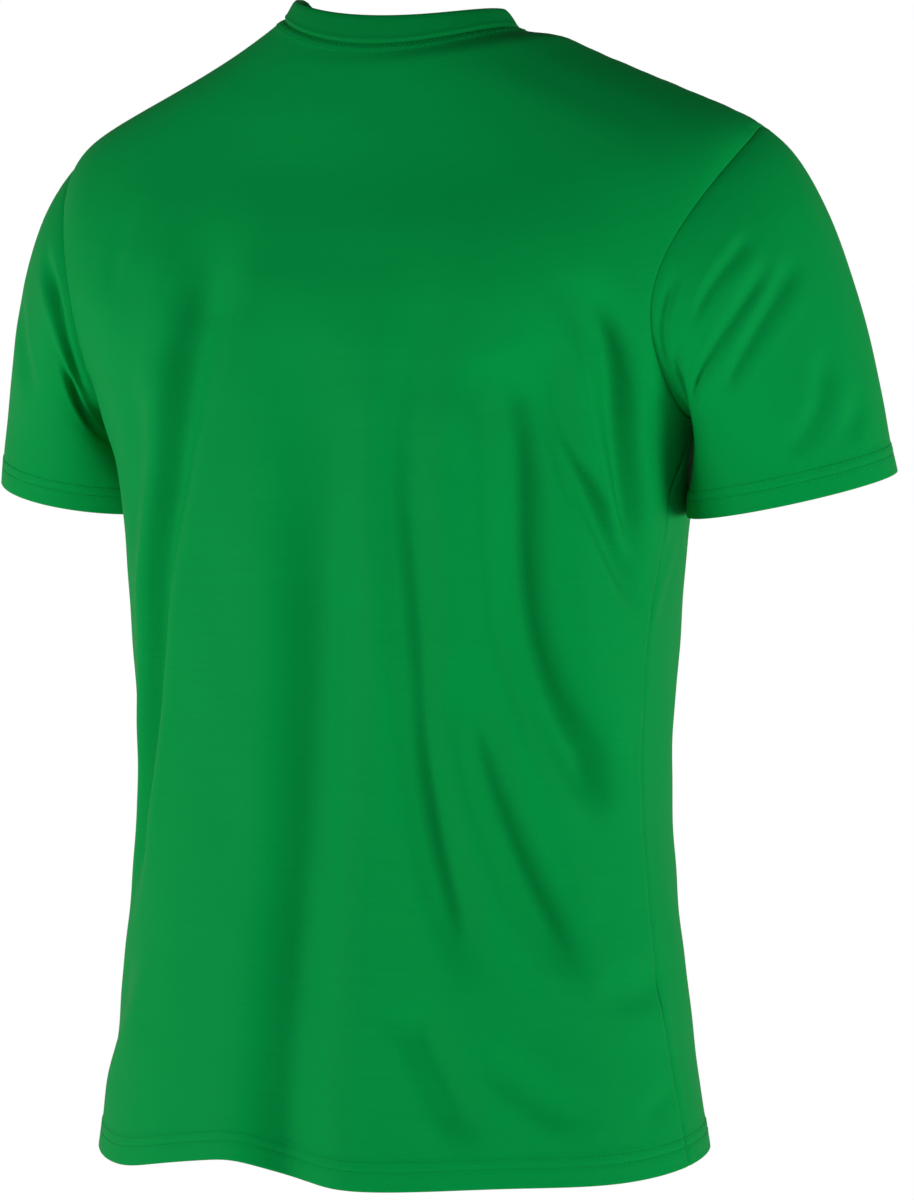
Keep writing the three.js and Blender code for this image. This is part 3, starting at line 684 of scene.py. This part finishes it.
# %% Shape the neckband
BAND_CLOTH = 2.4
BAND_RIDGE, BAND_RIDGE_AT = 0.55, 1.9
BAND_SHARES = np.array([0, 0.045, 0.09, 0.15, 0.22, 0.31, 0.42, 0.55, 0.68, 0.8, 0.89, 0.95, 1.0])


def neckband():
    angle = np.concatenate([back_grid["angle"][-1][:-1], front_grid["angle"][-1][:-1]])
    angle, t = np.meshgrid(angle, BAND_SHARES)
    base = band_form(angle, t)
    directions = grid_normals(base, True)
    up = lengths_along(base, 0)
    top = up[-1:] - up
    round_it = lengths_along(base, 1)
    height = -0.8 * np.exp(-((up / 1.1) ** 2)) - 0.5 * np.exp(-((top / 1.2) ** 2))
    height += BAND_RIDGE * np.exp(-(((up - BAND_RIDGE_AT) / 1.1) ** 2))
    height += 0.10 * np.sin(np.pi * np.clip(up / up[-1:], 0, 1)) + 0.12 * np.sin(round_it / 13) * ease(up / 4)
    join = np.minimum(round_it, round_it[:, -1:] - round_it)
    height += -0.7 * np.exp(-((join / 1.3) ** 2)) + 0.25 * np.exp(-(((join - 4) / 2.5) ** 2))
    seam = neck_normal(angle[0])
    share = np.exp(-((up / 2.6) ** 2))
    directions = toward(directions, np.broadcast_to(seam[None], directions.shape), share)
    outer = base + directions * height[..., None]
    line = unit(np.roll(base[0], -1, 0) - np.roll(base[0], 1, 0))
    outer[0] += unit(np.cross(directions[0], line)) * SEAM_SETBACK
    shaped = toward(grid_normals(outer, True), np.broadcast_to(seam[None], directions.shape), share)
    thickness = np.full(up.shape, BAND_CLOTH)
    closing = np.linalg.norm(base[:, :1] - base[:, -1:], axis=-1)
    run = np.concatenate([round_it, round_it[:, -1:] + closing], 1)
    rise = np.concatenate([up, up[:, :1]], 1)
    made = shell("neckband_cloth", outer, shaped, thickness, True, 0.08, 1.1, (rise + 300, run))
    return made, {"outer": outer, "normals": shaped, "up": up}


neckband_cloth, band_grid = neckband()

# %% [markdown]
# ## Seam allowances
# Inside every seam the two raw edges lie together and are overlocked, which from inside shows as a narrow
# tape. One strip over each seam stands for it. It follows the inner side of both pieces, and keeps light from
# shining through the seam.

# %% Strips over the seams, on the inner side
STRIP_CLOTH = 0.7
STRIP_LIFT = 0.25


def inner_side(grid, lift=STRIP_LIFT):
    thickness = grid["thickness"] if "thickness" in grid else np.full(grid["outer"].shape[:2], CLOTH)
    return grid["outer"] - grid["normals"] * (thickness + lift)[..., None]


def strip(name, lines, inward, mirror=False, loop=False):
    """A closed strip whose outer side runs through the lines, given side by side across the seam."""
    outer = np.array(lines)
    directions = -np.array(inward)
    u = np.repeat(np.arange(len(lines))[:, None] * 3.0, outer.shape[1] + loop, 1)
    v = np.repeat(np.arange(outer.shape[1] + loop)[None, :] * 3.6, len(lines), 0)
    thickness = np.full(outer.shape[:2], STRIP_CLOTH)
    return shell(name, outer, directions, thickness, loop, 0.2, 0.2, (u, v), mirror)


def column_lines(grid, rows, first_side):
    """Lines beside a panel's edge, from six millimetres in to the edge."""
    picks = [6, 4, 2, 0] if first_side else [-7, -5, -3, -1]
    inner = inner_side(grid)
    return [inner[rows, k] for k in picks], [-grid["normals"][rows, k] for k in picks]


def seam_strip(name, back_first, rows):
    """Over a side or shoulder seam, between the back and the front."""
    back_lines, back_in = column_lines(back_grid, rows, back_first)
    front_lines, front_in = column_lines(front_grid, rows, not back_first)
    lines = back_lines[:-1] + [(back_lines[-1] + front_lines[-1]) / 2] + front_lines[:-1][::-1]
    inward = back_in[:-1] + [unit(back_in[-1] + front_in[-1])] + front_in[:-1][::-1]
    return strip(name, lines, inward)


side_rows = slice(0, underarm_row + 1)
shoulder_rows = slice(tip_row, len(heights))
side_strips = [seam_strip("side_seam_left", True, side_rows), seam_strip("side_seam_right", False, side_rows)]
shoulder_strips = [
    seam_strip("shoulder_seam_left", True, shoulder_rows), seam_strip("shoulder_seam_right", False, shoulder_rows)
]


# %% Strips over the armholes and round the neck
def armhole_strip(name, side, sleeve_grid):
    rows = slice(underarm_row, tip_row + 1)
    back_lines, back_in = column_lines(back_grid, rows, side > 0)
    front_lines, front_in = column_lines(front_grid, rows, side < 0)
    lines, inward = [], []
    for k in range(4):
        lines.append(np.concatenate([back_lines[k], front_lines[k][::-1][1:-1]]))
        inward.append(np.concatenate([back_in[k], front_in[k][::-1][1:-1]]))
    sleeve_inner = inner_side(sleeve_grid)
    for row in (0, 2, 4, 6):
        flip = np.array([side, 1, 1])
        line, direction = sleeve_inner[row] * flip, -sleeve_grid["normals"][row] * flip
        if row == 0:
            lines[-1], inward[-1] = (lines[-1] + line) / 2, unit(inward[-1] + direction)
        else:
            lines.append(line)
            inward.append(direction)
    return strip(name, lines, inward, loop=True)


armhole_strips = [
    armhole_strip("armhole_seam_left", 1, left_grid), armhole_strip("armhole_seam_right", -1, right_grid)
]
neck_lines, neck_in = [], []
for row in (-7, -5, -3, -1):
    neck_lines.append(np.concatenate([inner_side(back_grid)[row][:-1], inner_side(front_grid)[row][:-1]]))
    neck_in.append(-np.concatenate([back_grid["normals"][row][:-1], front_grid["normals"][row][:-1]]))
band_foot = band_grid["outer"][:3] - band_grid["normals"][:3] * (BAND_CLOTH + STRIP_LIFT)
neck_lines[-1], neck_in[-1] = (neck_lines[-1] + band_foot[0]) / 2, unit(neck_in[-1] - band_grid["normals"][0])
neck_lines.append(band_foot[2])
neck_in.append(-band_grid["normals"][2])
neck_strip = strip("neck_tape", neck_lines, neck_in, loop=True)
for piece in side_strips + shoulder_strips + armhole_strips + [neck_strip]:
    if signed_volume(piece.data) < 0:
        piece.data.flip_normals()
        print("turned round:", piece.name)

# %% [markdown]
# ## Thread
# The hems and the foot of the neckband are sewn with two needles side by side. A stitch is the same small
# shape hundreds of times along a line, so a Geometry Nodes tree lays it: it resamples a line at the stitch
# pitch, puts one short low-poly thread on every point and turns it along the line.


# %% The stitch tree
def stitch_tree(material):
    tree = bpy.data.node_groups.new("stitches", "GeometryNodeTree")
    tree.is_modifier = True
    face = tree.interface
    face.new_socket("Line", in_out="INPUT", socket_type="NodeSocketGeometry")
    sizes = (("Pitch", 0.0031), ("Stitch length", 0.0026), ("Thread width", 0.00062), ("Thread height", 0.0005))
    for label, value in sizes:
        face.new_socket(label, in_out="INPUT", socket_type="NodeSocketFloat").default_value = value
    face.new_socket("Seed", in_out="INPUT", socket_type="NodeSocketInt").default_value = 5
    face.new_socket("Stitches", in_out="OUTPUT", socket_type="NodeSocketGeometry")
    nodes, links = tree.nodes, tree.links

    def node(kind, inputs=(), **settings):
        made = nodes.new(kind)
        for key, value in settings.items():
            setattr(made, key, value)
        for key, value in dict(inputs).items():
            if isinstance(value, bpy.types.NodeSocket):
                links.new(value, made.inputs[key])
            else:
                made.inputs[key].default_value = value
        return made

    given = nodes.new("NodeGroupInput").outputs
    line = node("GeometryNodeMeshToCurve", {"Mesh": given["Line"]})
    spaced = node("GeometryNodeResampleCurve", {"Curve": line.outputs[0], "Length": given["Pitch"]}, mode="LENGTH")
    ball = node("GeometryNodeMeshUVSphere", {"Segments": 6, "Rings": 4, "Radius": 0.5})
    size = node("ShaderNodeCombineXYZ", {"X": given["Thread height"], "Y": given["Thread width"], "Z": given["Stitch length"]})
    thread = node("GeometryNodeTransform", {"Geometry": ball.outputs[0], "Scale": size.outputs[0]})
    tangent = node("GeometryNodeInputTangent")
    turn = node("FunctionNodeAlignRotationToVector", {"Vector": tangent.outputs[0]}, axis="Z")
    uneven = node("FunctionNodeRandomValue", {2: 0.9, 3: 1.08, "Seed": given["Seed"]}, data_type="FLOAT")
    laid = node(
        "GeometryNodeInstanceOnPoints",
        {"Points": spaced.outputs[0], "Instance": thread.outputs[0], "Rotation": turn.outputs[0], "Scale": uneven.outputs[1]},
    )
    real = node("GeometryNodeRealizeInstances", {"Geometry": laid.outputs[0]})
    painted = node("GeometryNodeSetMaterial", {"Geometry": real.outputs[0], "Material": material})
    shown = nodes.new("NodeGroupOutput")
    links.new(painted.outputs[0], shown.inputs[0])
    return tree


def stitches(name, tree, lines, **sizes):
    """Sews along the lines, each an array of places in millimetres, and returns a plain mesh object."""
    places, edges, start = [], [], 0
    for line in lines:
        places.append(line * 0.001)
        edges += [(start + k, start + k + 1) for k in range(len(line) - 1)]
        start += len(line)
    guide = bpy.data.meshes.new(name + "_line")
    guide.from_pydata(np.concatenate(places).tolist(), edges, [])
    sewn = bpy.data.objects.new(name, guide)
    scene.collection.objects.link(sewn)
    modifier = sewn.modifiers.new("stitches", "NODES")
    modifier.node_group = tree
    sockets = {item.name: item.identifier for item in tree.interface.items_tree if item.in_out == "INPUT"}
    for label, value in sizes.items():
        modifier[sockets[label.replace("_", " ").capitalize()]] = value
    bpy.context.view_layer.update()
    evaluated = sewn.evaluated_get(bpy.context.evaluated_depsgraph_get())
    mesh = bpy.data.meshes.new_from_object(evaluated)
    sewn.modifiers.clear()
    sewn.data = mesh
    bpy.data.meshes.remove(guide)
    mesh.name = name
    mesh.polygons.foreach_set("use_smooth", np.ones(len(mesh.polygons), bool))
    print(f"{name}: {len(mesh.polygons)} faces")
    return sewn


# %% [markdown]
# ## The finish of the cloth
# The jersey is a fine polyester knit: columns of small loops less than a millimetre wide, with a soft satin
# shine. The loops are worked out from the cloth's own map, in metres of cloth, so they run up the body, across
# the shoulders and round the sleeves as a real knit does. Yarn that took the dye a little unevenly shows as
# faint stripes across, and larger soft patches keep the colour from being one flat green.


# %% Writing shader sums as sums
class Value:
    """One output of a shader node, which can be added, multiplied and compared like a number."""

    def __init__(self, finish, socket):
        self.finish, self.socket = finish, socket

    def math(self, operation, first, second=0.0):
        return self.finish.node("ShaderNodeMath", {"operation": operation}, {0: first, 1: second})

    def __add__(self, other):
        return self.math("ADD", self, other)

    def __sub__(self, other):
        return self.math("SUBTRACT", self, other)

    def __rsub__(self, other):
        return self.math("SUBTRACT", other, self)

    def __mul__(self, other):
        return self.math("MULTIPLY", self, other)

    def __truediv__(self, other):
        return self.math("DIVIDE", self, other)

    def __pow__(self, other):
        return self.math("POWER", self, other)

    def cosine(self):
        return self.math("COSINE", self)

    def size(self):
        return self.math("ABSOLUTE", self)

    def share(self):
        return self.math("FRACT", self)

    def clipped(self):
        return self.finish.node("ShaderNodeClamp", {}, {0: self, 1: 0.0, 2: 1.0})

    __radd__, __rmul__ = __add__, __mul__


class Finish:
    """A material whose nodes are added one by one."""

    def __init__(self, name):
        self.material = bpy.data.materials.new(name)
        self.material.use_nodes = True
        self.tree = self.material.node_tree
        self.skin = self.tree.nodes["Principled BSDF"]

    def node(self, kind, settings, inputs, output=0):
        made = self.tree.nodes.new(kind)
        for key, value in settings.items():
            if key == "stops":
                for k, (place, colour) in enumerate(value):
                    stop = made.color_ramp.elements[k] if k < 2 else made.color_ramp.elements.new(place)
                    stop.position, stop.color = place, colour
            else:
                setattr(made, key, value)
        for key, value in inputs.items():
            self.feed(made.inputs[key], value)
        return Value(self, made.outputs[output])

    def feed(self, socket, value):
        if isinstance(value, Value):
            self.tree.links.new(value.socket, socket)
        else:
            socket.default_value = value


# %% The knit
WALE, COURSE = 0.00082, 0.00066
GREEN = (0.0010, 0.300, 0.0560, 1)
GREEN_DEEP = (0.0007, 0.278, 0.0500, 1)
GREEN_PALE = (0.0014, 0.322, 0.0630, 1)
# The neckband's darker green is painted shade, for a band that faces up, away from the low lamps.
BAND_GREEN_PAINTED_SHADE = (0.0007, 0.215, 0.0400, 1)


def knit_finish():
    knit = Finish("green_knit")
    cloth = knit.node("ShaderNodeUVMap", {"uv_map": "cloth"}, {})
    across = knit.node("ShaderNodeSeparateXYZ", {}, {0: cloth}, 0)
    along = Value(knit, across.socket.node.outputs[1])
    place = knit.node("ShaderNodeTexCoord", {}, {}, "Object")

    loop = (across / WALE).share() - 0.5
    leg = (loop * (2 * math.pi)).cosine() * 0.5 + 0.5
    rows = ((along / COURSE + loop.size() * 1.3) * (2 * math.pi)).cosine() * 0.5 + 0.5
    yarn = leg * 0.55 + rows * 0.45

    stripe_place = knit.node("ShaderNodeMapping", {}, {0: cloth, "Scale": (9, 420, 1)})
    stripes = knit.node("ShaderNodeTexNoise", {}, {"Vector": stripe_place, "Scale": 1.0, "Detail": 3.0, "Roughness": 0.6})
    fine_place = knit.node("ShaderNodeMapping", {}, {0: cloth, "Scale": (60, 900, 1)})
    fine = knit.node("ShaderNodeTexNoise", {}, {"Vector": fine_place, "Scale": 1.0, "Detail": 2.0})
    patches = knit.node("ShaderNodeTexNoise", {}, {"Vector": place, "Scale": 7.0, "Detail": 3.0, "Roughness": 0.55})

    tone = stripes * 0.5 + fine * 0.2 + patches * 0.3
    shade = ((tone - 0.5) * 1.3 + 0.5).clipped()
    pale = knit.node("ShaderNodeMix", {"data_type": "RGBA"}, {"Factor": shade, 6: GREEN_DEEP, 7: GREEN_PALE}, 2)
    # Painted shade: the gaps between the knit's loops are mixed a little toward the deep green.
    shade_in_loop_gaps = (1 - yarn) * 0.10
    colour = knit.node("ShaderNodeMix", {"data_type": "RGBA"}, {"Factor": shade_in_loop_gaps, 6: pale, 7: GREEN_DEEP}, 2)
    # Painted shade: the neckband is mixed toward the darker band green.
    painted_band_shade = ((across - 0.295) * 1000).clipped()
    colour = knit.node("ShaderNodeMix", {"data_type": "RGBA"}, {"Factor": painted_band_shade * 0.9, 6: colour, 7: BAND_GREEN_PAINTED_SHADE}, 2)
    knit.feed(knit.skin.inputs["Base Color"], colour)
    knit.feed(knit.skin.inputs["Roughness"], 0.56 + (1 - yarn) * 0.08 + (stripes - 0.5) * 0.08)

    relief = yarn * 0.8 + stripes * 0.14 + fine * 0.10
    bump = knit.node("ShaderNodeBump", {}, {"Strength": 0.20, "Distance": 0.00018, "Height": relief})
    knit.feed(knit.skin.inputs["Normal"], bump)
    knit.skin.inputs["Sheen Weight"].default_value = 0.01
    knit.skin.inputs["Sheen Roughness"].default_value = 0.45
    knit.skin.inputs["Sheen Tint"].default_value = (0.1, 1.0, 0.4, 1)
    knit.skin.inputs["Specular Tint"].default_value = (0.12, 1.0, 0.45, 1)
    knit.skin.inputs["Specular IOR Level"].default_value = 0.06
    return knit.material


def thread_finish():
    thread = Finish("green_thread")
    place = thread.node("ShaderNodeTexCoord", {}, {}, "Object")
    twist = thread.node(
        "ShaderNodeTexWave", {"bands_direction": "DIAGONAL"}, {"Vector": place, "Scale": 900.0, "Distortion": 1.2}
    )
    spread = thread.node("ShaderNodeTexNoise", {}, {"Vector": place, "Scale": 60.0, "Detail": 2.0})
    shade = (twist * 0.6 + spread * 0.4).clipped()
    colour = thread.node("ShaderNodeMix", {"data_type": "RGBA"}, {"Factor": shade, 6: GREEN, 7: (0.0020, 0.325, 0.0640, 1)}, 2)
    thread.feed(thread.skin.inputs["Base Color"], colour)
    thread.feed(thread.skin.inputs["Roughness"], 0.42 + twist * 0.12)
    bump = thread.node("ShaderNodeBump", {}, {"Strength": 0.3, "Distance": 0.0001, "Height": twist})
    thread.feed(thread.skin.inputs["Normal"], bump)
    thread.skin.inputs["Specular Tint"].default_value = (0.12, 1.0, 0.45, 1)
    thread.skin.inputs["Specular IOR Level"].default_value = 0.12
    return thread.material


knit_material, thread_material = knit_finish(), thread_finish()
cloth_pieces = [back_panel, front_panel, left_sleeve, right_sleeve, neckband_cloth]
strips = side_strips + shoulder_strips + armhole_strips + [neck_strip]
for piece in cloth_pieces + strips:
    piece.data.materials.append(knit_material)
print("nodes in the knit:", len(knit_material.node_tree.nodes))


# %% Sew the hems, cuffs and neck
def line_at(grid, distances, wanted, lift=0.12, reverse=False):
    """A line across the columns of a grid at a wanted distance, just above the cloth."""
    places = []
    for column in range(grid["outer"].shape[1]):
        run = distances[:, column]
        order = np.argsort(run)
        where = [np.interp(wanted, run[order], grid["outer"][order, column, k]) for k in range(3)]
        normal = [np.interp(wanted, run[order], grid["normals"][order, column, k]) for k in range(3)]
        places.append(np.array(where) + np.array(normal) * lift)
    return np.array(places)


tree = stitch_tree(thread_material)
sewn = {}
for name, grid in (("back", back_grid), ("front", front_grid)):
    lines = [line_at(grid, grid["up"], gap) for gap in NEEDLE_LINES]
    lines += [line_at(grid, grid["top"], gap) for gap in (1.8, 6.0)]
    sewn[name] = stitches(name + "_stitches", tree, lines, seed=5 if name == "back" else 9)
for name, grid in (("left", left_grid), ("right", right_grid)):
    lines = [line_at(grid, grid["cuff"], gap) for gap in NEEDLE_LINES]
    flip = np.array([-1 if grid["mirror"] else 1, 1, 1])
    lines = [np.concatenate([line, line[:1]]) * flip for line in lines]
    sewn[name] = stitches(name + "_sleeve_stitches", tree, lines, pitch=0.0029, seed=13 if name == "left" else 17)

# %% [markdown]
# ## Where each piece belongs
# Every piece rides on the one body of the part and stands for its solid. The hems are turned up, so the cut is a
# little longer.

# %% Tie the pieces to the frame
pairs = {
    back_panel: "back_panel", front_panel: "front_panel", left_sleeve: "sleeve_left",
    right_sleeve: "sleeve_right", neckband_cloth: "neckband",
}
for piece, node_name in pairs.items():
    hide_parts(node_name)
for piece in cloth_pieces + strips + list(sewn.values()):
    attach(piece, "root")

[sewn["back"], neck_strip] + side_strips
[sewn["front"]] + shoulder_strips

# %% [markdown]
# ## Light and floor
# Two large soft lights stand on both sides of the camera, a little below the middle of the jersey. The one on
# the picture's left grazes the back, so the wall of a trough that faces away from it falls dark. The room is
# pale at the sides and dark overhead, so the tops of the shoulders fall darker, as in the photograph. A third
# lamp for the front would shine past the sleeves and leave pale streaks under the arms, so there is none.

# %% Light, room and floor
def soft_light(name, place, aim, width, height, watts, colour=(1, 1, 1)):
    lamp = bpy.data.lights.new(name, "AREA")
    lamp.shape, lamp.size, lamp.size_y = "RECTANGLE", width, height
    lamp.energy, lamp.color = watts, colour
    made = bpy.data.objects.new(name, lamp)
    made.location = place
    made.rotation_euler = (Vector(aim) - Vector(place)).to_track_quat("-Z", "Y").to_euler()
    scene.collection.objects.link(made)
    return made


soft_light("key", (1.75, 2.1, -0.62), (0, 0, -0.38), 1.0, 1.0, 39)
soft_light("fill", (-2.7, 0.4, -0.68), (0, 0, -0.38), 1.0, 1.0, 38)

room = bpy.data.worlds.new("room")
room.use_nodes = True
scene.world = room
room_nodes, room_links = room.node_tree.nodes, room.node_tree.links
room_nodes.clear()
ROOM_SIDES, ROOM_TOP, ROOM_WALL = 0.57, 0.07, 1.0
seen = room_nodes.new("ShaderNodeBackground")
seen.inputs["Color"].default_value, seen.inputs["Strength"].default_value = (1, 1, 1, 1), ROOM_WALL
lighting = room_nodes.new("ShaderNodeBackground")
lighting.inputs["Color"].default_value = (1, 1, 1, 1)
direction = room_nodes.new("ShaderNodeTexCoord")
height = room_nodes.new("ShaderNodeSeparateXYZ")
falloff = room_nodes.new("ShaderNodeMapRange")
falloff.interpolation_type = "SMOOTHSTEP"
for socket, value in zip(("From Min", "From Max", "To Min", "To Max"), (0.0, 0.5, ROOM_SIDES, ROOM_TOP)):
    falloff.inputs[socket].default_value = value
path = room_nodes.new("ShaderNodeLightPath")
choose = room_nodes.new("ShaderNodeMixShader")
shown = room_nodes.new("ShaderNodeOutputWorld")
room_links.new(direction.outputs["Generated"], height.inputs[0])
room_links.new(height.outputs[2], falloff.inputs["Value"])
room_links.new(falloff.outputs[0], lighting.inputs["Strength"])
room_links.new(path.outputs["Is Camera Ray"], choose.inputs[0])
room_links.new(lighting.outputs[0], choose.inputs[1])
room_links.new(seen.outputs[0], choose.inputs[2])
room_links.new(choose.outputs[0], shown.inputs["Surface"])

FLOOR_Z = -1.45
floor_mesh = bpy.data.meshes.new("floor")
ring = [(3.2 * math.cos(k * math.pi / 48), 3.2 * math.sin(k * math.pi / 48), FLOOR_Z) for k in range(96)]
floor_mesh.from_pydata(ring, [], [tuple(range(96))])
floor = bpy.data.objects.new("floor", floor_mesh)
scene.collection.objects.link(floor)
floor_finish = Finish("pale_floor")
floor_finish.skin.inputs["Base Color"].default_value = (0.82, 0.82, 0.81, 1)
floor_finish.skin.inputs["Roughness"].default_value = 0.8
floor_mesh.materials.append(floor_finish.material)
floor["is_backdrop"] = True
scene.view_settings.view_transform = "Standard"

# %% [markdown]
# ## The size
# The box of the solids and the box of the dressed part are printed, with the count of all triangles.
# The dressed part has to stay in the box of its solids, apart from what cloth may stand proud.

# %% Sizes and triangles
visual_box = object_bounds()
for label, found in (("cad", cad_box), ("visual", visual_box)):
    print(label, [[round(v, 4) for v in corner] for corner in found])
total = sum(triangles(piece.data) for piece in cloth_pieces + strips + list(sewn.values()))
print("triangles in all:", total)
